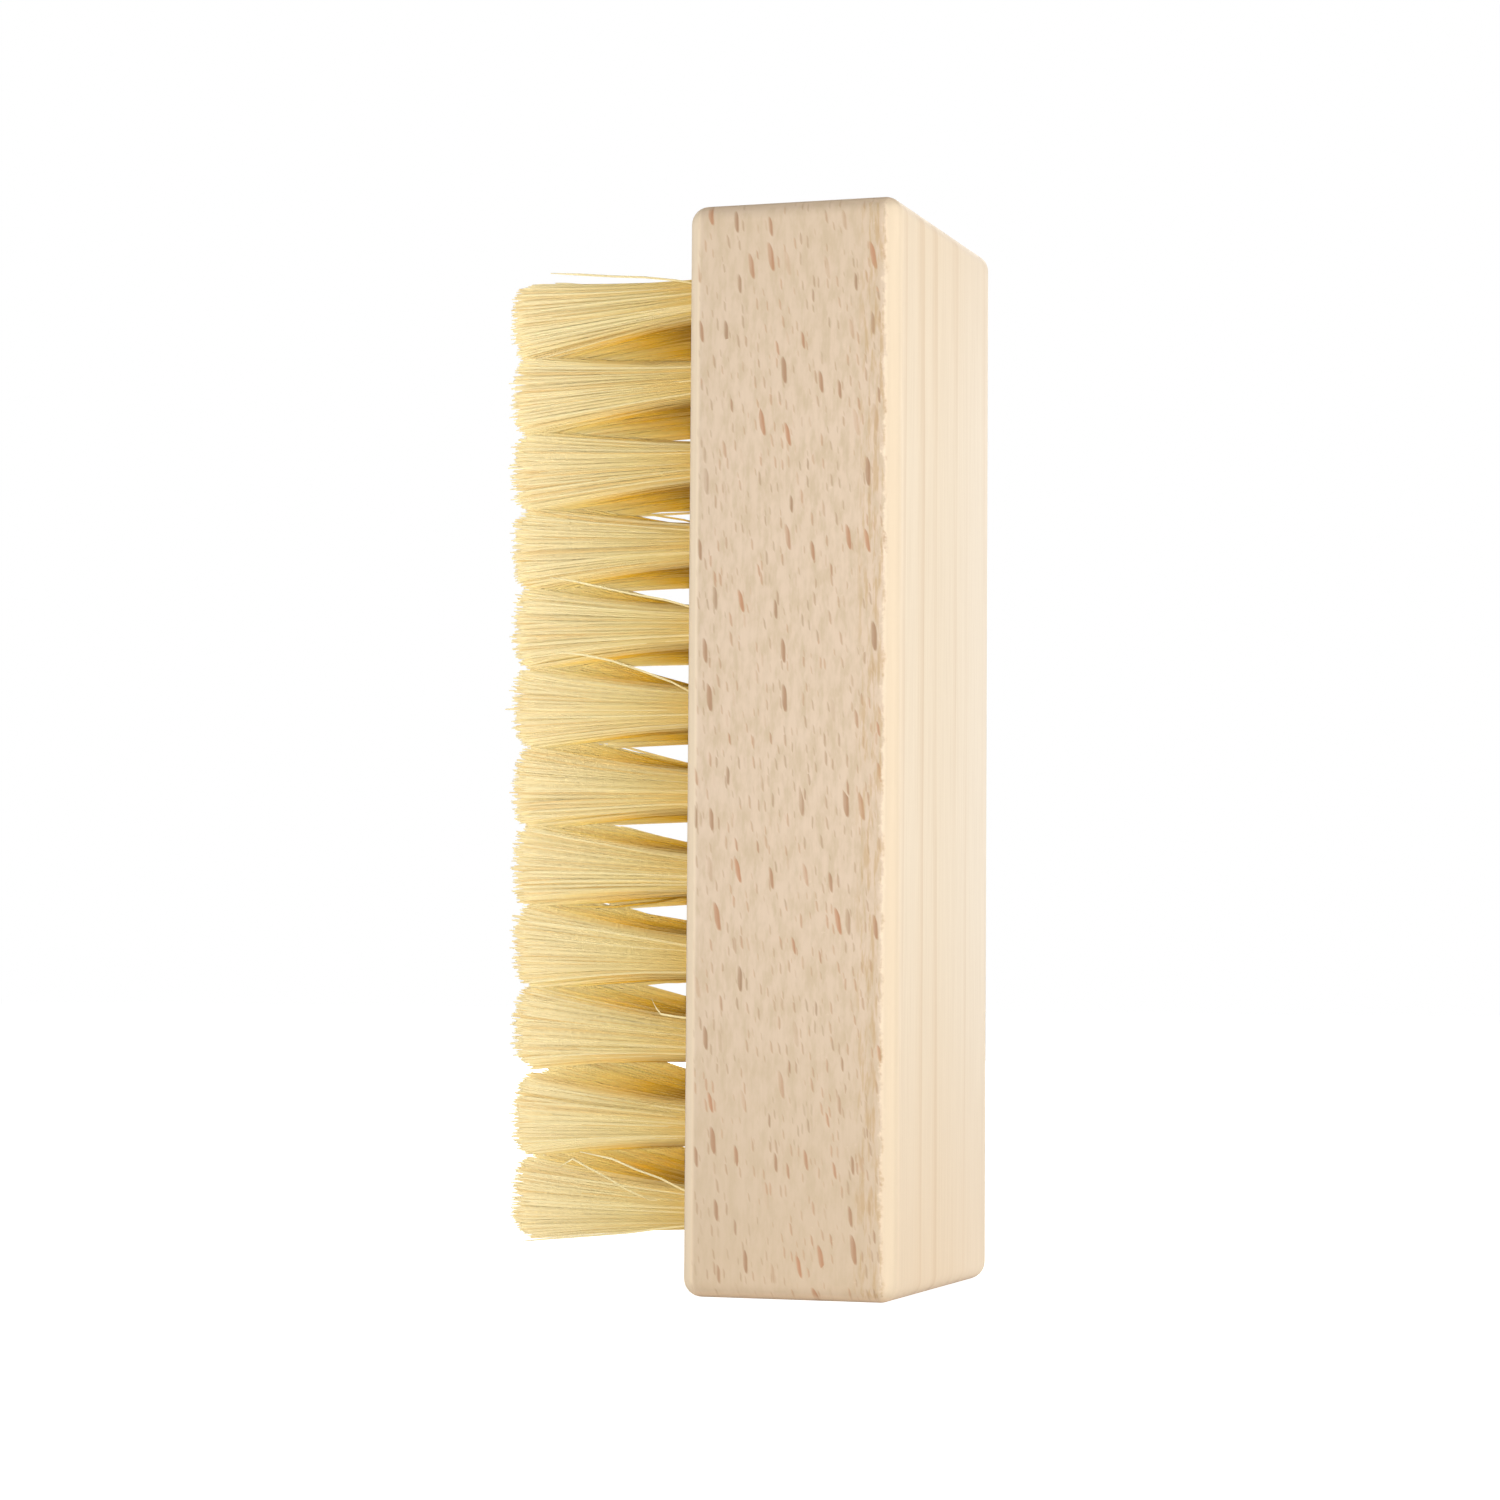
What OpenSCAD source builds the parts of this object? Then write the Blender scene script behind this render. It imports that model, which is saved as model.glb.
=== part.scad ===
// Block cleaning brush: a beech block drilled for tufts of hog bristle. Each tuft
// is folded over a flat wire anchor that bites into the wall of its hole.
// The block stands on one end: +Z runs along it, the bristles point to -X and the
// plain back of the block faces +X. The origin is the centre of the lower end face.

/* [Block] */
// Length of the block, which is its height as it stands
block_len = 120; // [112:1:170]
// Width of the block, across the rows of tufts
block_wid = 40; // [37:0.5:60]
// Thickness of the block, from the bristle face to the back
block_thk = 24.3; // [17:0.1:40]
// Radius of the rounded edges of the block
edge_r = 2; // [0.4:0.1:3]

/* [Tuft holes] */
// Number of holes along the block
holes_long = 12; // [8:1:14]
// Number of rows across the block
rows_across = 4; // [3:1:4]
// Diameter of a drilled hole
hole_d = 5; // [4:0.1:6]
// Depth of the straight wall of a hole
hole_depth = 12; // [9:0.5:14]
// Point angle of the drill
drill_angle = 120; // [90:5:150]
// Distance from an end of the block to the first hole centre
end_margin = 9.4; // [6:0.2:11]
// Distance from a side of the block to the outer row of holes
side_margin = 7.25; // [5:0.25:8]

/* [Bristle tufts] */
// Free length of the bristles, from the face of the block to the tips
bristle_len = 21.8; // [15:0.2:35]
// Clear space between neighbouring tufts at their tips
tuft_gap = 0.4; // [0.2:0.1:1.5]
// How far the rim of a tuft is trimmed back from its middle
tip_round = 0.9; // [0:0.1:2]
// Scatter in the length of single strands
tip_scatter = 0.5; // [0:0.1:1]
// Depth below the face at which the packed root of a tuft ends
root_recess = 0.3; // [0:0.1:1]
// Strands round the rim of a tuft
rim_strands = 7; // [5:1:7]
// Strands in the middle of a tuft
core_strands = 3; // [2:1:3]

/* [Wire anchors] */
// How far each end of an anchor bites into the wall of its hole
anchor_bite = 0.4; // [0.2:0.05:0.8]
// Height of an anchor along its hole
anchor_high = 2; // [1:0.1:3]
// Thickness of the flat wire
anchor_thk = 0.4; // [0.3:0.05:0.6]
// Thickness of the bristle fold under the anchor
fold_thk = 2.1; // [1.2:0.1:3]

/* [Hidden] */
// Clearance round a packed root in its hole, and round an anchor in its seat
root_clear = 0.05;
anchor_clear = 0.02;
// How far a strand reaches down into the packed root
strand_bury = 1;
// How far a cutting shape runs past the face that it cuts
overrun = 1;

hole_r = hole_d / 2;
root_r = hole_r - root_clear;
anchor_wid = hole_d + 2 * anchor_bite;
anchor_low = hole_depth - fold_thk;
pitch_long = (block_len - 2 * end_margin) / (holes_long - 1);
pitch_across = (block_wid - 2 * side_margin) / (rows_across - 1);

// How far a tuft's tips reach from its middle, along the block and across it
reach_long = (pitch_long - tuft_gap) / 2;
reach_across = (pitch_across - tuft_gap) / 2;

// A tuft leaves its hole nearly straight, and opens out more from its bend to its tips
bend_share = 0.6;
bend_reach_share = 0.73;
foot_low = root_recess + strand_bury;
bend_high = bend_share * bristle_len;

// Where the strands stand and how thick they are, as shares of the tuft's reach.
// The layout is the same at every height, so that no two strands ever cross.
strand_sides = 3;
rim_place_share = 0.73;
rim_size_share = 0.27;
core_place_share = 0.36;
core_size_share = 0.24;

// Turn of the layout from one tuft to the next, so that no two look alike
tuft_turn = 137.5;
// Turns and stretch that make the scatter of strand lengths look random
scatter_turn = 61;
scatter_stretch = 43.7;

curve_fn = 48;

// Rows are lettered from the -Y side, and holes are numbered upwards from the foot
function tuft_name(row, col) =
    str("tuft_", chr(ord("a") + row), "_", len(str(col + 1)) < 2 ? "0" : "", col + 1);

function hole_y(row) = -block_wid / 2 + side_margin + row * pitch_across;
function hole_z(col) = end_margin + col * pitch_long;
function tuft_heading(row, col) = tuft_turn * (row * holes_long + col);

// The reach at the foot that brings the fan through the hole's mouth just inside it
function foot_reach(tip_reach) =
    (root_r * (foot_low + bend_high) - bend_reach_share * tip_reach * foot_low) / bend_high;

// A number from 0 to 1 that looks random but is the same every time
function scatter(row, col, strand) =
    let (wave = scatter_stretch * sin(tuft_heading(row + 1, col) * (strand + 2) + scatter_turn * col))
    wave - floor(wave);

// Puts its children at a hole, with their +Z pointing out along the bristles
// and their +X along the block
module at_hole(row, col) {
    translate([-block_thk / 2, hole_y(row), hole_z(col)])
        rotate([0, -90, 0])
            children();
}

module at_every_hole() {
    for (row = [0:rows_across - 1], col = [0:holes_long - 1])
        at_hole(row, col)
            children();
}

// A rectangle with round corners, centred
module round_rect(a, b) {
    square([a - 2 * edge_r, b], center = true);
    square([a, b - 2 * edge_r], center = true);
    for (i = [-1, 1], j = [-1, 1])
        translate([i * (a / 2 - edge_r), j * (b / 2 - edge_r)])
            circle(edge_r, $fn = curve_fn);
}

// Three rounded outlines, one along each axis, in common. They round every edge, but
// leave a ridge on each corner.
module rounded_edges() {
    intersection() {
        linear_extrude(block_len)
            round_rect(block_thk, block_wid);
        translate([0, block_wid / 2, block_len / 2])
            rotate([90, 0, 0])
                linear_extrude(block_wid)
                    round_rect(block_thk, block_len);
        translate([-block_thk / 2, 0, block_len / 2])
            rotate([0, 90, 0])
                linear_extrude(block_thk)
                    round_rect(block_len, block_wid);
    }
}

// All that stands outside the ball of a corner, from the ball's middle outwards
module corner_waste() {
    difference() {
        cube(edge_r + overrun);
        sphere(edge_r, $fn = curve_fn);
    }
}

// The block's outside, with rounded edges and ball corners
module block_outside() {
    difference() {
        rounded_edges();
        for (i = [-1, 1], j = [-1, 1], k = [-1, 1])
            translate([
                i * (block_thk / 2 - edge_r),
                j * (block_wid / 2 - edge_r),
                block_len / 2 + k * (block_len / 2 - edge_r)
            ])
                mirror([min(i, 0), 0, 0])
                    mirror([0, min(j, 0), 0])
                        mirror([0, 0, min(k, 0)])
                            corner_waste();
    }
}

// A blind hole with its drill point, downwards from the face
module drilled_hole() {
    point_high = hole_r / tan(drill_angle / 2);
    rotate_extrude($fn = curve_fn)
        polygon([
            [0, overrun],
            [hole_r, overrun],
            [hole_r, -hole_depth],
            [0, -hole_depth - point_high]
        ]);
}

// A flat wire across the hole, larger all round by the given clearance
module anchor(clear) {
    translate([0, 0, anchor_high / 2 - anchor_low])
        cube([
            anchor_wid + 2 * clear,
            anchor_thk + 2 * clear,
            anchor_high + 2 * clear
        ], center = true);
}

module block() {
    color([0.86, 0.77, 0.66])
        difference() {
            block_outside();
            at_every_hole() drilled_hole();
            at_every_hole() anchor(anchor_clear);
        }
}

module wire_anchors() {
    color([0.74, 0.73, 0.70])
        at_every_hole() anchor(0);
}

// The packed root of a tuft, rounded underneath where the bristles fold over
module packed_root() {
    rotate_extrude($fn = curve_fn) {
        translate([0, root_r - hole_depth])
            square([root_r, hole_depth - root_r - root_recess]);
        intersection() {
            translate([0, root_r - hole_depth])
                circle(root_r, $fn = curve_fn);
            translate([0, -hole_depth])
                square([root_r, root_r]);
        }
    }
}

// A strand through three rings: its foot in the root, its bend and its tip.
// place and size are shares of the tuft's reach at each ring. The strand stands in
// the direction of heading, with the first corner of its section turned by facing.
module strand(place, size, heading, facing, tip_high) {
    rings = [
        [foot_reach(reach_long), foot_reach(reach_across), -foot_low],
        [bend_reach_share * reach_long, bend_reach_share * reach_across, bend_high],
        [reach_long, reach_across, tip_high]
    ];
    last = len(rings) - 1;
    polyhedron(
        points = [
            for (ring = rings, side = [0:strand_sides - 1])
                let (corner = heading + facing + side * 360 / strand_sides)
                [
                    ring[0] * (place * cos(heading) + size * cos(corner)),
                    ring[1] * (place * sin(heading) + size * sin(corner)),
                    ring[2]
                ]
        ],
        faces = concat(
            [[for (side = [0:strand_sides - 1]) side]],
            [
                for (i = [0:last - 1], side = [0:strand_sides - 1])
                    let (
                        next = (side + 1) % strand_sides,
                        low = i * strand_sides,
                        high = low + strand_sides
                    )
                    each [
                        [low + side, high + side, low + next],
                        [low + next, high + side, high + next]
                    ]
            ],
            [[for (side = [strand_sides - 1:-1:0]) last * strand_sides + side]]
        )
    );
}

module rim(row, col) {
    for (i = [0:rim_strands - 1])
        strand(
            rim_place_share, rim_size_share,
            tuft_heading(row, col) + i * 360 / rim_strands, 0,
            bristle_len - tip_round - tip_scatter * scatter(row, col, i)
        );
}

module core(row, col) {
    for (i = [0:core_strands - 1])
        strand(
            core_place_share, core_size_share,
            tuft_heading(row, col) + i * 360 / core_strands, 180,
            bristle_len - tip_scatter * scatter(row, col, rim_strands + i)
        );
}

module tuft(row, col) {
    color([0.94, 0.86, 0.62])
        at_hole(row, col)
            difference() {
                union() {
                    packed_root();
                    rim(row, col);
                    core(row, col);
                }
                anchor(anchor_clear);
            }
}

block();
wire_anchors();
for (row = [0:rows_across - 1], col = [0:holes_long - 1])
    tuft(row, col);
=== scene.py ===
import math
import random

import bmesh
import bpy
from mathutils import Matrix, Vector


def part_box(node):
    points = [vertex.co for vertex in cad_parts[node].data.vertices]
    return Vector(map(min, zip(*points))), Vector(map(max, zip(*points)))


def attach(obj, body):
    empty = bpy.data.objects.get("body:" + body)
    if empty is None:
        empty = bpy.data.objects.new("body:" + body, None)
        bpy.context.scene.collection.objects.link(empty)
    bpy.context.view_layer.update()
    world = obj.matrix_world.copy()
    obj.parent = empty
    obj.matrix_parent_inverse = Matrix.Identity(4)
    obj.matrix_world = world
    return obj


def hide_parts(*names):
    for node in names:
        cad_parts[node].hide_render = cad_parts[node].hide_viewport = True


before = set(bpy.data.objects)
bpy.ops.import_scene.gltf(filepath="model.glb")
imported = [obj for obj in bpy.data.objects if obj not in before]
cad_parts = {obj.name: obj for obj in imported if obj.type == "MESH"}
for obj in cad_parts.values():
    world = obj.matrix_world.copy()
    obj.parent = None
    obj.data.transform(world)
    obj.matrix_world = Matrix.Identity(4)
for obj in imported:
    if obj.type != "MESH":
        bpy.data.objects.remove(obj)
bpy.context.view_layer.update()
blockLow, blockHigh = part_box("block")
blockMiddle = (blockLow + blockHigh) / 2
mm = 0.001
white = (1.0, 1.0, 1.0, 1.0)
black = (0.0, 0.0, 0.0, 1.0)

# The camera stands a little below the middle of the brush and right of its side face
cameraSetup = {
    "azimuth": 18.167,      # degrees round the brush from straight in front of its side face
    "elevation": -3.214,    # degrees, below level because it looks slightly up
    "roll": 0.388,
    "distance": 446.472,    # mm from the point aimed at
    "aimRight": -10.434,    # mm from the block's middle, across the picture
    "aimUp": 0.564,
    "lens": 94.392,
    "sensor": 36.0,
    "clipStart": 0.01,      # metres
}


# The turn of a camera or lamp that stands at this azimuth and elevation and faces inwards
def turned(azimuth, elevation, roll=0.0):
    return (Matrix.Rotation(math.radians(azimuth), 4, "Z")
            @ Matrix.Rotation(math.radians(90 - elevation), 4, "X")
            @ Matrix.Rotation(math.radians(roll), 4, "Z"))


def setUpCamera(c):
    level = turned(c["azimuth"], c["elevation"])
    right, up, back = (Vector(level.col[i][:3]) for i in range(3))
    aim = blockMiddle + (right * c["aimRight"] + up * c["aimUp"]) * mm
    data = bpy.data.cameras.new("camera")
    data.lens = c["lens"]
    data.sensor_width = c["sensor"]
    data.clip_start = c["clipStart"]
    camera = bpy.data.objects.new("camera", data)
    bpy.context.scene.collection.objects.link(camera)
    camera.matrix_world = (Matrix.Translation(aim + back * c["distance"] * mm)
                           @ turned(c["azimuth"], c["elevation"], c["roll"]))
    bpy.context.scene.camera = camera


setUpCamera(cameraSetup)
print("camera is set")


# One output of a node. Sums on it add the Math nodes that work them out.
class Reading:
    def __init__(self, recipe, socket):
        self.recipe = recipe
        self.socket = socket

    def out(self, name):
        return Reading(self.recipe, self.socket.node.outputs[name])

    def math(self, operation, *others):
        return self.recipe.add("Math", {"operation": operation}, dict(enumerate((self,) + others)))

    def __add__(self, other):
        return self.math("ADD", other)

    def __radd__(self, other):
        return self.math("ADD", other)

    def __sub__(self, other):
        return self.math("SUBTRACT", other)

    def __rsub__(self, other):
        return (self * -1).math("ADD", other)

    def __mul__(self, other):
        return self.math("MULTIPLY", other)

    def __rmul__(self, other):
        return self.math("MULTIPLY", other)

    def __truediv__(self, other):
        return self.math("DIVIDE", other)

    def __pow__(self, other):
        return self.math("POWER", other)

    def __abs__(self):
        return self.math("ABSOLUTE")


# The nodes of a material or of the room, which all lead to one shader
class Recipe:
    def __init__(self, owner, constants, shader="Principled BSDF"):
        self.owner = owner
        owner.use_nodes = True
        self.tree = owner.node_tree
        self.shader = self.tree.nodes[shader]
        for socket, value in constants.items():
            self.shader.inputs[socket].default_value = value

    def feed(self, socket, value):
        if isinstance(value, Reading):
            self.tree.links.new(value.socket, socket)
        else:
            socket.default_value = value

    def add(self, kind, settings=None, inputs=None):
        node = self.tree.nodes.new("ShaderNode" + kind)
        for name, value in (settings or {}).items():
            if name == "stops":
                self.setStops(node.color_ramp, value)
            else:
                setattr(node, name, value)
        for name, value in (inputs or {}).items():
            self.feed(node.inputs[name], value)
        return Reading(self, node.outputs[0])

    def setStops(self, ramp, stops):
        while len(ramp.elements) < len(stops):
            ramp.elements.new(1.0)
        for element, (place, colour) in zip(ramp.elements, stops):
            element.position = place
            element.color = colour

    def parts(self, vector):
        split = self.add("SeparateXYZ", inputs={"Vector": vector})
        return split.out("X"), split.out("Y"), split.out("Z")

    def vector(self, x=0.0, y=0.0, z=0.0):
        return self.add("CombineXYZ", inputs={"X": x, "Y": y, "Z": z})

    # Where a point lies in the piece's own frame, in mm
    def place(self):
        return [part / mm for part in self.parts(self.add("TexCoord").out("Object"))]

    # How much the surface faces along each axis, either way, from 0 to 1
    def facing(self):
        return [abs(part) for part in self.parts(self.add("TexCoord").out("Normal"))]

    def attribute(self, name):
        return self.add("Attribute", {"attribute_name": name}).out("Fac")

    # Smooth 0 to 1 as value goes from one end of the span to the other
    def ramp(self, value, span):
        return self.add("MapRange", {"interpolation_type": "SMOOTHSTEP"},
                        {"Value": value, "From Min": span[0], "From Max": span[1]})

    # Noise over a place, stretched by a scale of its own along each axis
    def noise(self, place, scales, detail, roughness):
        stretched = self.vector(*(part * scale for part, scale in zip(place, scales)))
        return self.add("TexNoise", inputs={"Vector": stretched, "Scale": 1.0, "Detail": detail,
                                            "Roughness": roughness})

    def mix(self, factor, a, b):
        return self.add("Mix", {"data_type": "RGBA", "clamp_factor": True},
                        {0: factor, 6: a, 7: b}).out(2)

    def bump(self, height, strength, distance):
        return self.add("Bump", inputs={"Strength": strength, "Distance": distance, "Height": height})

    # 1 where the camera sees a thing straight on, in gloss or through glass, and 0 for other light
    def seen(self):
        rays = self.add("LightPath")
        return rays.out("Is Camera Ray") + rays.out("Is Glossy Ray") + rays.out("Is Transmission Ray")

    def finish(self, **feeds):
        for name, value in feeds.items():
            self.feed(self.shader.inputs[name.replace("_", " ")], value)
        return self.owner


# A colour from its screen values, 0 to 255
def tone(red, green, blue):
    def linear(c):
        c /= 255
        return c / 12.92 if c <= 0.04045 else ((c + 0.055) / 1.055) ** 2.4
    return (linear(red), linear(green), linear(blue), 1.0)


# Raw beech. The rings lie nearly flat to the side faces, so those show the cut ends
# of the rays as short brown flecks, and the back shows straight ring lines.
# A noise is how fast it changes per mm on each axis, its detail and its roughness.
beech = {
    "sideTone": tone(212, 191, 168),
    "sideDarkAndShade": tone(196, 175, 147),
    "backTone": tone(240, 223, 198),
    "backDarkAndShade": tone(222, 195, 161),
    "backPale": tone(250, 238, 220),
    "paintedRimHighlight": tone(238, 218, 192),
    "fleckTone": tone(160, 130, 102),
    "fleckRed": tone(184, 134, 100),
    "paintedEdgeShade": tone(215, 196, 169),
    "smudgeTone": tone(186, 152, 108),
    "endTone": tone(224, 198, 168),
    "specular": 0.28,
    "roughness": 0.62,
    "fibreRoughness": 0.2,
    "fleckRoughness": 0.1,

    "ringWidth": 6.5,           # mm from one ring to the next
    "ringCentre": -30.0,        # mm, the x about which the rings bow
    "ringCurve": 0.0015,        # how much they bow, per mm
    "ringWander": 2.0,          # mm
    "ringUneven": 9.0,          # mm
    "lineRise": (0.55, 0.97),   # where a ring darkens to its line, as shares of the ring
    "lineFall": (1.0, 0.97),
    "lineStrong": (0.35, 0.65),

    "wander": ((0.05, 0.05, 0.016), 2.0, 0.5),  # slow drift of the rings and flecks
    "fibre": ((2.6, 2.6, 0.07), 4.0, 0.6),      # fine streaks along the grain
    "mottle": ((0.9, 0.9, 0.3), 3.0, 0.6),      # soft patches on the sides
    "uneven": ((0.16, 0.003), 1.0, 0.5),        # rings of unlike width, across and along them
    "strong": ((7.3, 0.012), 1.0, 0.5),         # lines of unlike strength, by ring and along them
    "ragged": ((0.6, 0.6, 0.7), 3.0, 0.7),      # the line between the side and the back
    "smudge": ((1.7, 1.0, 0.24), 3.0, 0.6),     # brown marks beside the back

    "backHalf": (-3.0, 3.0),    # mm, the x over which the ragged line comes in
    "raggedReach": 0.9,
    "backTurn": (0.10, 0.45),   # how far an edge has turned where the next face's tone comes in
    "endTurn": (0.5, 0.9),
    "edgeTurn": (0.05, 0.45),
    "mottleSpan": (0.35, 0.72),
    "rimHighlightSpan": (0.55, 0.15),    # mm from the bristle face, over which a highlight is painted on the side's rim
    "middle": 70.0,             # mm up, where the painted shade towards the top and foot is lightest
    "endShadeSpan": (20.0, 70.0),     # mm from there, over which the painted shade darkens it
    "acrossSpan": (-4.0, 18.0),     # mm, the y over which the back gets paler

    "sideLine": 0.25,           # how strongly each pattern shows
    "sideEndShade": 0.55,
    "backLine": 0.60,
    "backFibre": 0.4,
    "backAcross": 0.5,
    "backEndShade": 0.40,
    "endShare": 0.75,
    "fibreShare": 0.30,
    "deepShare": 0.10,

    "slant": 0.07,              # lean of the flecks, right going down
    "fleckWander": 1.5,         # mm
    "fleckLeast": 0.8,          # how dark flecks are between the soft patches
    "fleckMottle": 0.6,         # and how much darker on them
    "fleckEnd": 0.7,            # how much of them the ends lose
    "smudgeSpan": (0.46, 0.64),
    "smudgeReach": (4.95, 3.55),    # mm from the back
    "smudgeShare": 0.6,

    "bumpStrength": 0.35,
    "bumpDistance": 0.00012,    # metres
    "bumpFibre": 0.5,
    "bumpFleck": 0.8,
    "bumpLine": 0.2,
}

# Two sizes of fleck: the cell that each one has to itself, its greatest half length and half
# width in mm, how many cells have one, and how dark it is
bigFlecks = {
    "cellWide": 2.2, "cellLong": 6.0, "long": 1.6, "wide": 0.35, "share": 0.78, "strength": 1.15,
    "shiftAcross": 0.0, "shiftAlong": 0.0,
}
smallFlecks = {
    "cellWide": 0.9, "cellLong": 2.2, "long": 0.80, "wide": 0.17, "share": 0.85, "strength": 0.80,
    "shiftAcross": 5.0, "shiftAlong": 3.0,
}
fleckShape = {
    "tilt": 0.16,               # how far single flecks turn from the grain
    "smallest": 0.30,           # size of the smallest, as a share of the largest
    "skew": 1.4,                # slant of the two ends
    "blunt": 6,                 # 2 is a pointed lens, more is blunter
    "soft": (-0.10, 0.20),      # mm, from outside a fleck's edge to inside it
    "fade": 0.4,                # how many of them are only faint
    "darkSide": (-0.10, 0.25),  # mm, across a fleck to its darker side
    "paleLevel": 0.65,
    "darkLevel": 0.45,
}


# Lens-shaped marks that stand along the grain, one in some of the cells
def flecks(recipe, across, along, f, shape):
    across = across + f["shiftAcross"]
    along = along + f["shiftAlong"]
    cell = recipe.add("TexVoronoi",
                      {"voronoi_dimensions": "2D", "feature": "F1", "distance": "EUCLIDEAN"},
                      {"Vector": recipe.vector(across / f["cellWide"], along / f["cellLong"]),
                       "Scale": 1.0, "Randomness": 1.0})
    centreAcross, centreAlong = recipe.parts(cell.out("Position"))[:2]
    chance, size, redness = recipe.parts(cell.out("Color"))
    offAlong = along - centreAlong * f["cellLong"]
    offAcross = across - centreAcross * f["cellWide"] + offAlong * (redness - 0.5) * shape["tilt"]
    grown = shape["smallest"] + (1 - shape["smallest"]) * size
    reach = abs(offAlong + offAcross * shape["skew"]) / (f["long"] * grown)
    halfWide = (1 - reach ** shape["blunt"]) * f["wide"] * grown
    mark = recipe.ramp(halfWide - abs(offAcross), shape["soft"])
    there = recipe.ramp(chance, (1 - f["share"], 1 - f["share"] + shape["fade"]))
    darker = recipe.ramp(offAcross, shape["darkSide"])
    return mark * there * (shape["paleLevel"] + shape["darkLevel"] * darker) * f["strength"], redness


# Thin dark lines, where one year's ring of the wood meets the next
def ringLines(recipe, b, x, y, z, wander):
    uneven = recipe.noise((y, z), *b["uneven"]) - 0.5
    fromCentre = x - b["ringCentre"]
    bowed = (y + fromCentre * fromCentre * b["ringCurve"]
             + wander * b["ringWander"] + uneven * b["ringUneven"])
    ring = bowed / b["ringWidth"]
    late = ring.math("FRACT")
    strong = recipe.noise((ring.math("FLOOR"), z), *b["strong"])
    return (recipe.ramp(late, b["lineRise"]) * recipe.ramp(late, b["lineFall"])
            * recipe.ramp(strong, b["lineStrong"]))


def beechMaterial(b):
    recipe = Recipe(bpy.data.materials.new("beech"), {"Specular IOR Level": b["specular"]})
    place = recipe.place()
    x, y, z = place
    sideways, frontways, upwards = recipe.facing()
    wander = recipe.noise(place, *b["wander"]) - 0.5
    streaks = recipe.noise(place, *b["fibre"]) - 0.5
    mottle = recipe.noise(place, *b["mottle"])
    line = ringLines(recipe, b, x, y, z, wander)

    # The back's tone meets the side's along an uneven line on the rounded edge
    ragged = (recipe.noise(place, *b["ragged"]) - 0.5) * recipe.ramp(x, b["backHalf"])
    back = recipe.ramp(sideways + ragged * b["raggedReach"], b["backTurn"])
    end = recipe.ramp(upwards, b["endTurn"])
    # Painted shade: the block darkens from its middle towards its top and foot, as less light falls
    # there
    paintedEndShade = recipe.ramp(abs(z - b["middle"]), b["endShadeSpan"])

    side = recipe.mix(recipe.ramp(mottle, b["mottleSpan"]), b["sideTone"], b["sideDarkAndShade"])
    side = recipe.mix(line * b["sideLine"], side, b["sideDarkAndShade"])
    side = recipe.mix(paintedEndShade * b["sideEndShade"], side, b["sideDarkAndShade"])
    # Painted highlight: a paler line along the side's rim next to the bristle face
    side = recipe.mix(recipe.ramp(x - blockLow.x / mm, b["rimHighlightSpan"]), side, b["paintedRimHighlight"])

    plain = recipe.mix(line * b["backLine"] + streaks * b["backFibre"], b["backTone"], b["backDarkAndShade"])
    plain = recipe.mix(recipe.ramp(y, b["acrossSpan"]) * b["backAcross"], plain, b["backPale"])
    plain = recipe.mix(paintedEndShade * b["backEndShade"], plain, b["backDarkAndShade"])

    colour = recipe.mix(back, side, plain)
    # Painted shading: an in-between tone across the rounded edge where the side turns into the back
    rounded = recipe.ramp(sideways.math("MINIMUM", frontways), b["edgeTurn"])
    colour = recipe.mix(rounded * back, colour, b["paintedEdgeShade"])
    colour = recipe.mix(end * b["endShare"], colour, recipe.mix(line, b["endTone"], b["sideDarkAndShade"]))

    across = x + z * b["slant"] + wander * b["fleckWander"]
    big, redness = flecks(recipe, across, z, bigFlecks, fleckShape)
    small = flecks(recipe, across, z, smallFlecks, fleckShape)[0]
    mark = (big.math("MAXIMUM", small) * (1 - back) * (1 - end * b["fleckEnd"])
            * (b["fleckLeast"] + b["fleckMottle"] * mottle))
    colour = recipe.mix(mark, colour, recipe.mix(redness, b["fleckTone"], b["fleckRed"]))

    besideBack = recipe.ramp(blockHigh.x / mm - x, b["smudgeReach"]) * (1 - back) * (1 - end)
    smudge = recipe.ramp(recipe.noise(place, *b["smudge"]), b["smudgeSpan"])
    colour = recipe.mix(smudge * besideBack * b["smudgeShare"], colour, b["smudgeTone"])
    colour = recipe.mix(streaks * b["fibreShare"] + b["deepShare"], colour, b["sideDarkAndShade"])

    height = streaks * b["bumpFibre"] - mark * b["bumpFleck"] + line * b["bumpLine"]
    roughness = b["roughness"] + streaks * b["fibreRoughness"] + mark * b["fleckRoughness"]
    return recipe.finish(Base_Color=colour, Roughness=roughness,
                         Normal=recipe.bump(height, b["bumpStrength"], b["bumpDistance"]))


# Cut steel wire, drawn along its length
anchorWire = {
    "paleTone": tone(196, 194, 188),
    "darkTone": tone(150, 148, 142),
    "drawn": ((0.4, 8.0, 8.0), 3.0, 0.5),   # a noise, written as the wood's are
    "roughness": 0.3,
    "drawnRoughness": 0.25,
}


def wireMaterial(w):
    recipe = Recipe(bpy.data.materials.new("anchorWire"), {"Metallic": 1.0})
    drawn = recipe.noise(recipe.place(), *w["drawn"])
    return recipe.finish(Base_Color=recipe.mix(drawn, w["paleTone"], w["darkTone"]),
                         Roughness=w["roughness"] + drawn * w["drawnRoughness"])


def dress(piece, material):
    piece.data.materials.clear()
    piece.data.materials.append(material)


dress(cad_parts["block"], beechMaterial(beech))
dress(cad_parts["wire_anchors"], wireMaterial(anchorWire))
print("block and anchors are finished")
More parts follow.
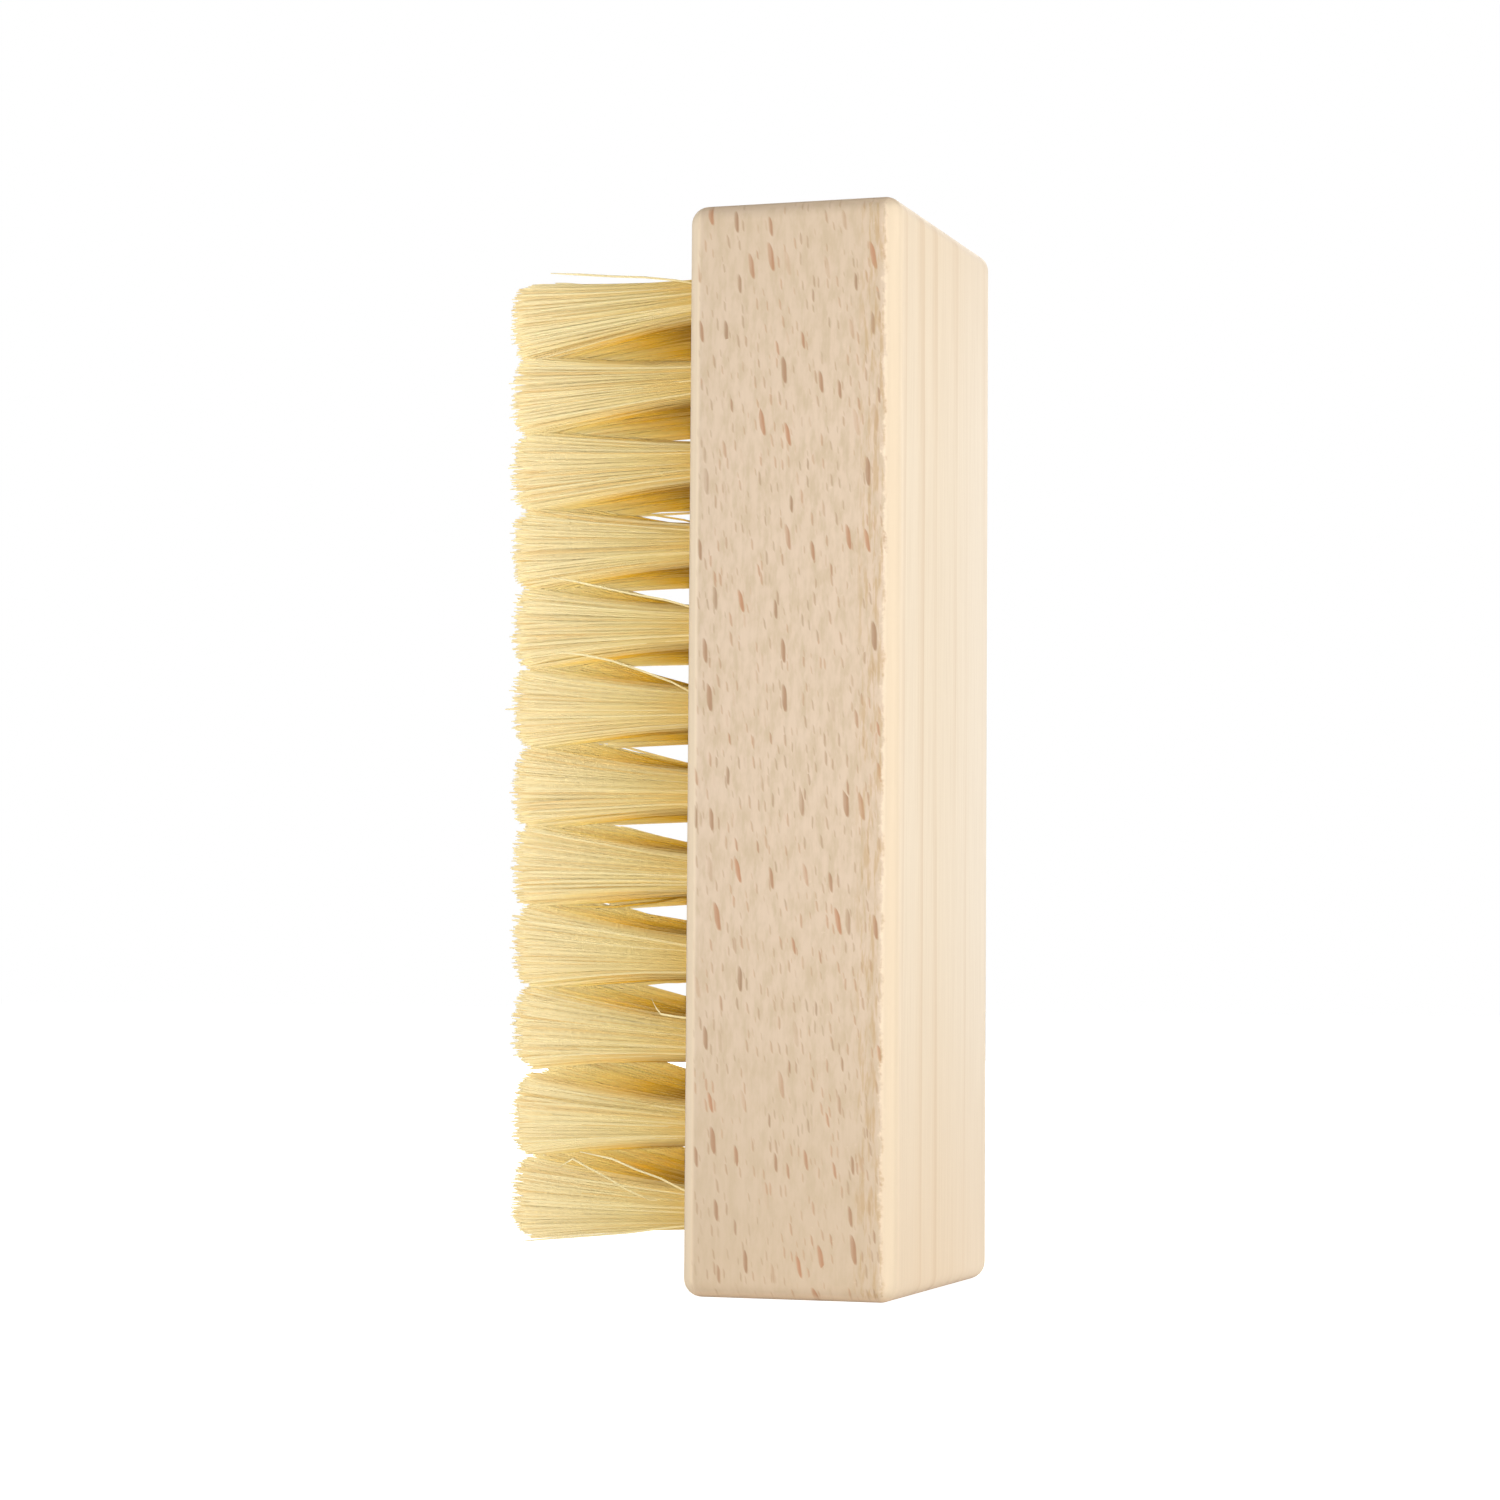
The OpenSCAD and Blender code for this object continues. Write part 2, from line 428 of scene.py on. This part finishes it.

# Light hog bristle: amber at the root and pale at the tip. Stops go from root to tip, for bristles at
# the edge of the field of tufts and for those inside it, whose tones are painted shade and painted
# amber light.
bristleFinish = {
    # at the edge of the field: darker and more amber at the root, partly the hair's own colour and
    # partly painted shade next to the block
    "outer": [(0.0, tone(199, 168, 91)), (0.40, tone(220, 201, 142)), (1.0, tone(239, 224, 180))],
    # inside the field: painted shade and painted amber light, for bristles that light reaches only
    # through other bristles
    "shadedInner": [(0.0, tone(96, 62, 8)), (0.25, tone(166, 118, 23)), (0.45, tone(224, 173, 48)),
              (0.70, tone(242, 212, 120)), (1.0, tone(244, 229, 172))],
    "darkStrand": tone(216, 176, 98),
    "paleStrand": tone(238, 227, 183),
    "darkSpan": (0.30, 0.0),    # tints that darken a bristle, from not at all to most
    "paleSpan": (0.65, 1.0),
    "tinting": 0.45,            # how strongly a tint shows
    "paintedShadeTinting": 0.4,         # how much less a pale one shows where shade is painted inside
    "roughness": 0.45,
    "tipRoughness": 0.2,        # how much rougher the tip is
    "diffuseRoughness": 1.0,
    "specular": 0.12,
    "sheenTone": tone(255, 222, 140),
    "sheenWeight": 0.4,
    "sheenRoughness": 0.4,
}


def bristleMaterial(b):
    recipe = Recipe(bpy.data.materials.new("bristle"), {
        "Diffuse Roughness": b["diffuseRoughness"], "Specular IOR Level": b["specular"],
        "Sheen Weight": b["sheenWeight"], "Sheen Roughness": b["sheenRoughness"],
        "Sheen Tint": b["sheenTone"]})
    along, tint, deep = (recipe.attribute(name) for name in ("along", "tint", "deep"))
    outer, shadedInner = (recipe.add("ValToRGB", {"stops": b[name]}, {"Fac": along})
                    for name in ("outer", "shadedInner"))
    # Painted shade: bristles inside the field take darker, more amber tones
    colour = recipe.mix(deep, outer, shadedInner)
    colour = recipe.mix(recipe.ramp(tint, b["darkSpan"]) * b["tinting"], colour, b["darkStrand"])
    paler = recipe.ramp(tint, b["paleSpan"]) * (b["tinting"] - b["paintedShadeTinting"] * deep)
    colour = recipe.mix(paler, colour, b["paleStrand"])
    return recipe.finish(Base_Color=colour, Roughness=b["roughness"] + along * b["tipRoughness"])


# Lengths in mm. Those of the holes are the block's own.
tuft = {
    "rows": "abcd",
    "columns": 12,
    "endMargin": 9.4,
    "sideMargin": 7.25,
    "rootRadius": 2.32,
    "rootDepth": 7.4,           # bristles reach down to their wire anchor
    "footLength": 21.0,         # free length at the foot of the block, where they are cut shorter
    "topLength": 22.1,
    "reachLong": 4.62,          # about half the pitch, so neighbours meet at their tips
    "reachAcross": 4.15,
    "flare": 1.35,              # 1 fans out evenly, more keeps a tuft slim for longer
    "square": 3.5,              # 2 is a round tuft, more fills the corners between tufts
    "bristles": 560,
    "crowd": 0.40,              # below 0.5 the bristles stand closer at the rim
    "spotJitter": 0.015,        # share of the radius that single bristles are out of place
    "sides": 4,
    "thin": 0.090,              # radius of a bristle at its root
    "thick": 0.130,
    "taper": -0.2,              # below 0 a bristle thickens as it goes out
    "tipWidth": 0.35,           # width of the cut tip, as a share of what it would be
    "clumps": 22,
    "clumpJitter": 0.08,
    "pull": 0.12,               # how far tips are drawn to the middle of their clump
    "pullRange": (0.4, 1.2),
    "tipJitter": 0.04,
    "curl": 0.18,
    "bowShare": 0.7,            # how much of its curl a bristle bows out by at mid length
    "looseShare": 0.015,        # share of bristles that stray out of line
    "looseCurl": 0.8,
    "rimShort": 1.2,            # how much shorter the bristles at the rim are
    "rimStart": 0.7,            # share of the radius at which they start to shorten
    "rimPower": 1.5,
    "tipScatter": 0.32,
    "endReach": 0.95,           # how much less the first and last tufts spread past the ends
    "steps": (0.0, 0.30, 0.56, 0.79, 0.94, 1.0),
    "shadeStart": 0.6,           # how far inside the field its painted shade starts to show
    "shadeSide": 1.6,            # and over what length, from its long sides and from its ends
    "shadeEnd": 1.5,
}

# How far the tips of each tuft lean towards the top of the block, in mm, from the foot up
leans = {
    "a": (0.75, 0.75, 1.4, 1.3, 1.0, 0.6, 0.5, 0.1, -0.1, -0.6, -1.2, -2.0),
    "b": (2.4, 2.0, 2.1, 1.7, 1.4, 2.3, 3.4, 2.0, 1.3, 0.6, 0.4, -0.7),
    "c": (2.6, 2.3, 2.0, 2.0, 2.0, 1.9, 2.0, 2.0, 1.8, 0.9, 1.0, 0.4),
    "d": (3.2, 3.3, 2.3, 1.1, 1.7, 2.1, 2.1, 2.6, 2.6, 2.5, 1.7, 0.7),
}

# Single hairs that lie across the tufts, as (outwards, across, along the block) in mm
# from their tuft's hole
hairs = {
    "tuft_a_01": (
        ((4.5, -4.15, 0.9), (6.9, -4.2, 1.8), (9.5, -4.25, 3.2),
         (11.8, -4.3, 4.3), (13.6, -4.3, 5.2), (15.1, -4.3, 4.3)),
        ((-1.0, -2.2, 1.2), (0.8, -4.0, 2.1), (3.4, -4.15, 3.3),
         (6.2, -4.2, 4.2), (9.0, -4.2, 5.3), (12.8, -4.2, 6.0)),
        ((-0.5, -1.75, -1.8), (3.6, -1.9, -2.3), (7.7, -2.0, -2.9),
         (11.7, -2.0, -3.3), (16.0, -2.0, -3.7), (20.4, -2.0, -4.2)),
    ),
    "tuft_a_03": (
        ((-1.0, -2.2, 1.6), (0.4, -3.85, 2.5), (2.2, -3.9, 2.7),
         (3.5, -3.9, 2.9), (4.1, -3.9, 3.6), (4.6, -3.9, 4.6)),
    ),
    "tuft_a_07": (
        ((-1.0, -2.2, 0.8), (2.5, -3.9, 2.8), (6.3, -3.95, 4.2),
         (9.6, -4.0, 5.3), (12.8, -4.0, 6.0), (16.3, -4.0, 6.4)),
    ),
    "tuft_a_08": (
        ((-0.7, -2.2, 1.6), (3.5, -3.85, 2.8), (7.6, -3.9, 3.6),
         (11.1, -3.95, 4.4), (14.1, -3.95, 5.1), (17.1, -3.95, 5.6)),
    ),
    "tuft_a_12": (
        ((0.3, -1.75, 1.5), (3.3, -1.75, 2.1), (6.9, -1.75, 2.6),
         (10.8, -1.75, 2.9), (14.7, -1.75, 3.3), (18.2, -1.75, 3.6)),
    ),
}
hairMake = {
    "radiusShare": 0.85,        # of the thickest bristle
    "rootDepth": 0.8,           # mm that a hair starts behind its first point
    "tint": 1.0,
    "deep": 0.0,
    "steps": (0.3, 0.45, 0.6, 0.75, 0.9, 1.0),
}


# Even places over a disc of radius 1. A crowd below 0.5 packs them closer at the rim.
def sunflower(index, count, crowd=0.5):
    radius = ((index + 0.5) / count) ** crowd
    angle = index * math.pi * (3 - math.sqrt(5))
    return radius * math.cos(angle), radius * math.sin(angle)


# A point (outwards, across, along the block) in mm, from its hole and in the block's frame
def outwards(point):
    return Vector((-point[0], point[1], point[2])) * mm


# Where one bristle's middle runs, as (outwards, across, along the block) in mm
def bristlePath(t, luck, clumps, spot, length, lean, endwards):
    u, v = spot
    nearest = min(clumps, key=lambda c: (c[0] - u) ** 2 + (c[1] - v) ** 2)
    pull = t["pull"] * luck.uniform(*t["pullRange"])
    tipU = u + (nearest[0] - u) * pull + luck.gauss(0, t["tipJitter"])
    tipV = v + (nearest[1] - v) * pull + luck.gauss(0, t["tipJitter"])
    if endwards * tipU > 0:
        tipU *= t["endReach"]
    rim = math.hypot(tipU, tipV)
    corner = rim / (abs(tipU) ** t["square"] + abs(tipV) ** t["square"]) ** (1 / t["square"])
    overRim = max(0.0, (rim - t["rimStart"]) / (1 - t["rimStart"]))
    length += luck.gauss(0, t["tipScatter"]) - t["rimShort"] * overRim ** t["rimPower"]
    curl = t["looseCurl"] if luck.random() < t["looseShare"] else t["curl"]
    bowAcross = luck.gauss(0, curl)
    bowLong = luck.gauss(0, curl)
    rootAcross, rootLong = v * t["rootRadius"], u * t["rootRadius"]
    tipAcross, tipLong = tipV * corner * t["reachAcross"], tipU * corner * t["reachLong"]
    points = [(-t["rootDepth"], rootAcross, rootLong)]
    for step in t["steps"]:
        fan = step ** t["flare"]
        bow = math.sin(math.pi * step) * t["bowShare"]
        points.append((
            step * length,
            rootAcross * (1 - fan) + tipAcross * fan + bowAcross * bow,
            rootLong * (1 - fan) + tipLong * fan + bowLong * bow + lean * step,
        ))
    return points


# Starts every bristle of a tuft as a short prism in its hole, then draws all their
# ends out together, one step at a time, along each bristle's own path
def growBristles(bm, strands, steps, t, hole):
    alongLayer, tintLayer, paintedShadeLayer = (bm.verts.layers.float.get(n) or bm.verts.layers.float.new(n)
                                        for n in ("along", "tint", "deep"))
    strandLayer = bm.faces.layers.int.get("strand") or bm.faces.layers.int.new("strand")
    ends = []
    for index, strand in enumerate(strands):
        foot, mouth = (hole + outwards(p) for p in strand["path"][:2])
        place = Matrix.Translation((foot + mouth) / 2) @ Matrix.Rotation(-math.pi / 2, 4, "Y")
        radius = strand["radius"] * mm
        made = bmesh.ops.create_cone(bm, cap_ends=True, segments=t["sides"], radius1=radius,
                                     radius2=radius, depth=(mouth - foot).length, matrix=place)["verts"]
        for vert in made:
            vert[tintLayer] = strand["tint"]
            vert[paintedShadeLayer] = strand["deep"]
        end = max({f for v in made for f in v.link_faces}, key=lambda f: -f.calc_center_median().x)
        end[strandLayer] = index
        ends.append(end)
    for step in range(2, len(steps) + 1):
        ends = bmesh.ops.extrude_discrete_faces(bm, faces=ends)["faces"]
        narrow = (1 - t["taper"] * steps[step - 1]) / (1 - t["taper"] * steps[step - 2])
        if step == len(steps):
            narrow *= t["tipWidth"]
        for end in ends:
            path = strands[end[strandLayer]]["path"]
            before, after = (hole + outwards(p) for p in path[step - 1:step + 1])
            for vert in end.verts:
                vert.co = after + (vert.co - before) * narrow
                vert[alongLayer] = steps[step - 1]


# How far inside the whole field of tufts a bristle stands, from 0 at its edge to 1, which sets how much
# painted shade it takes
def paintedShadeDepth(path, hole, t):
    foot = hole + outwards(path[0])
    fromSide = min(foot.y - blockLow.y, blockHigh.y - foot.y) / mm - t["sideMargin"] + t["rootRadius"]
    fromEnd = min(foot.z - blockLow.z, blockHigh.z - foot.z) / mm - t["endMargin"] + t["rootRadius"]
    inside = min((fromSide - t["shadeStart"]) / t["shadeSide"], (fromEnd - t["shadeStart"]) / t["shadeEnd"])
    return min(1.0, max(0.0, inside))


# The middle of a hole's mouth, on the bristle face of the block
def mouthOf(row, column, t):
    wide = (blockHigh.y - blockLow.y) - 2 * t["sideMargin"] * mm
    long = (blockHigh.z - blockLow.z) - 2 * t["endMargin"] * mm
    return Vector((
        blockLow.x,
        blockLow.y + t["sideMargin"] * mm + row * wide / (len(t["rows"]) - 1),
        blockLow.z + t["endMargin"] * mm + column * long / (t["columns"] - 1),
    ))


def makeStrands(name, row, column, t, hole):
    luck = random.Random(name)
    turn = luck.uniform(0, 2 * math.pi)

    def spun(spot, jitter):
        u = spot[0] * math.cos(turn) - spot[1] * math.sin(turn) + luck.gauss(0, jitter)
        v = spot[0] * math.sin(turn) + spot[1] * math.cos(turn) + luck.gauss(0, jitter)
        return u, v

    clumps = [spun(sunflower(i, t["clumps"]), t["clumpJitter"]) for i in range(t["clumps"])]
    spots = [spun(sunflower(i, t["bristles"], t["crowd"]), t["spotJitter"])
             for i in range(t["bristles"])]
    length = t["footLength"] + (t["topLength"] - t["footLength"]) * column / (t["columns"] - 1)
    lean = leans[t["rows"][row]][column]
    endwards = (column == t["columns"] - 1) - (column == 0)
    paths = [bristlePath(t, luck, clumps, spot, length, lean, endwards) for spot in spots]
    return [{"path": path, "radius": luck.uniform(t["thin"], t["thick"]), "tint": luck.random(),
             "deep": paintedShadeDepth(path, hole, t)} for path in paths]


# A hair starts a little behind its first point, so that it rises out of the tuft
def makeHair(points, h, t):
    outward, across, along = points[0]
    return {"path": [(outward - h["rootDepth"], across, along)] + list(points),
            "radius": t["thick"] * h["radiusShare"], "tint": h["tint"], "deep": h["deep"]}


def makeTuft(row, column, t, material):
    name = "tuft_%s_%02d" % (t["rows"][row], column + 1)
    hole = mouthOf(row, column, t)
    bm = bmesh.new()
    growBristles(bm, makeStrands(name, row, column, t, hole), t["steps"], t, hole)
    stray = [makeHair(points, hairMake, t) for points in hairs.get(name, ())]
    growBristles(bm, stray, hairMake["steps"], t, hole)
    for face in bm.faces:
        face.smooth = True
    mesh = bpy.data.meshes.new(name + "_bristles")
    bm.to_mesh(mesh)
    bm.free()
    piece = bpy.data.objects.new(name + "_bristles", mesh)
    bpy.context.scene.collection.objects.link(piece)
    dress(piece, material)
    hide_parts(name)
    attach(piece, "root")


bristle = bristleMaterial(bristleFinish)
tuftCount = len(tuft["rows"]) * tuft["columns"]
for row in range(len(tuft["rows"])):
    for column in range(tuft["columns"]):
        makeTuft(row, column, tuft, bristle)
print("bristles:", tuftCount * tuft["bristles"], "in", tuftCount, "tufts")

# A white floor that keeps the brush's shadow, in a room that the camera sees as white
stage = {
    "floorSize": 3.0,           # metres from its middle to its edge
    "floorTone": 0.82,
    "floorRoughness": 0.9,
    "floorLift": 0.88,          # how much whiter the floor is to the camera than its light makes it
    "roomLight": 0.16,
}


def setUpStage(s):
    bm = bmesh.new()
    bmesh.ops.create_grid(bm, x_segments=1, y_segments=1, size=s["floorSize"])
    mesh = bpy.data.meshes.new("floor")
    bm.to_mesh(mesh)
    bm.free()
    floor = bpy.data.objects.new("floor", mesh)
    bpy.context.scene.collection.objects.link(floor)
    paper = Recipe(bpy.data.materials.new("floorPaper"), {
        "Base Color": (s["floorTone"],) * 3 + (1.0,), "Roughness": s["floorRoughness"],
        "Specular IOR Level": 0.0, "Emission Strength": s["floorLift"]})
    dress(floor, paper.finish(Emission_Color=paper.mix(paper.seen(), black, white)))

    bpy.context.scene.world = bpy.data.worlds.new("room")
    room = Recipe(bpy.context.scene.world, {"Color": white}, "Background")
    room.finish(Strength=s["roomLight"] + (1 - s["roomLight"]) * room.seen())


# Soft lamps, each named by where it stands: degrees round and up, and metres away
lamps = {
    "keyLamp": {"azimuth": 85, "elevation": 20, "away": 0.9, "size": 0.5, "power": 4.3},
    "frontLamp": {"azimuth": 16.8, "elevation": -3.2, "away": 0.449, "size": 0.008, "power": 1.42},
    "bristleLamp": {"azimuth": -84, "elevation": 5, "away": 1.0, "size": 0.5, "power": 6.0},
    "farLamp": {"azimuth": 190, "elevation": 15, "away": 1.1, "size": 0.5, "power": 7.0},
}


def setUpLamps():
    for name, lamp in lamps.items():
        data = bpy.data.lights.new(name, "AREA")
        data.shape = "DISK"
        data.size = lamp["size"]
        data.energy = lamp["power"]
        turn = turned(lamp["azimuth"], lamp["elevation"])
        spot = blockMiddle + Vector(turn.col[2][:3]) * lamp["away"]
        light = bpy.data.objects.new(name, data)
        bpy.context.scene.collection.objects.link(light)
        light.matrix_world = Matrix.Translation(spot) @ turn


setUpStage(stage)
setUpLamps()
bpy.context.scene.view_settings.view_transform = "Standard"
print("stage and lamps are set")
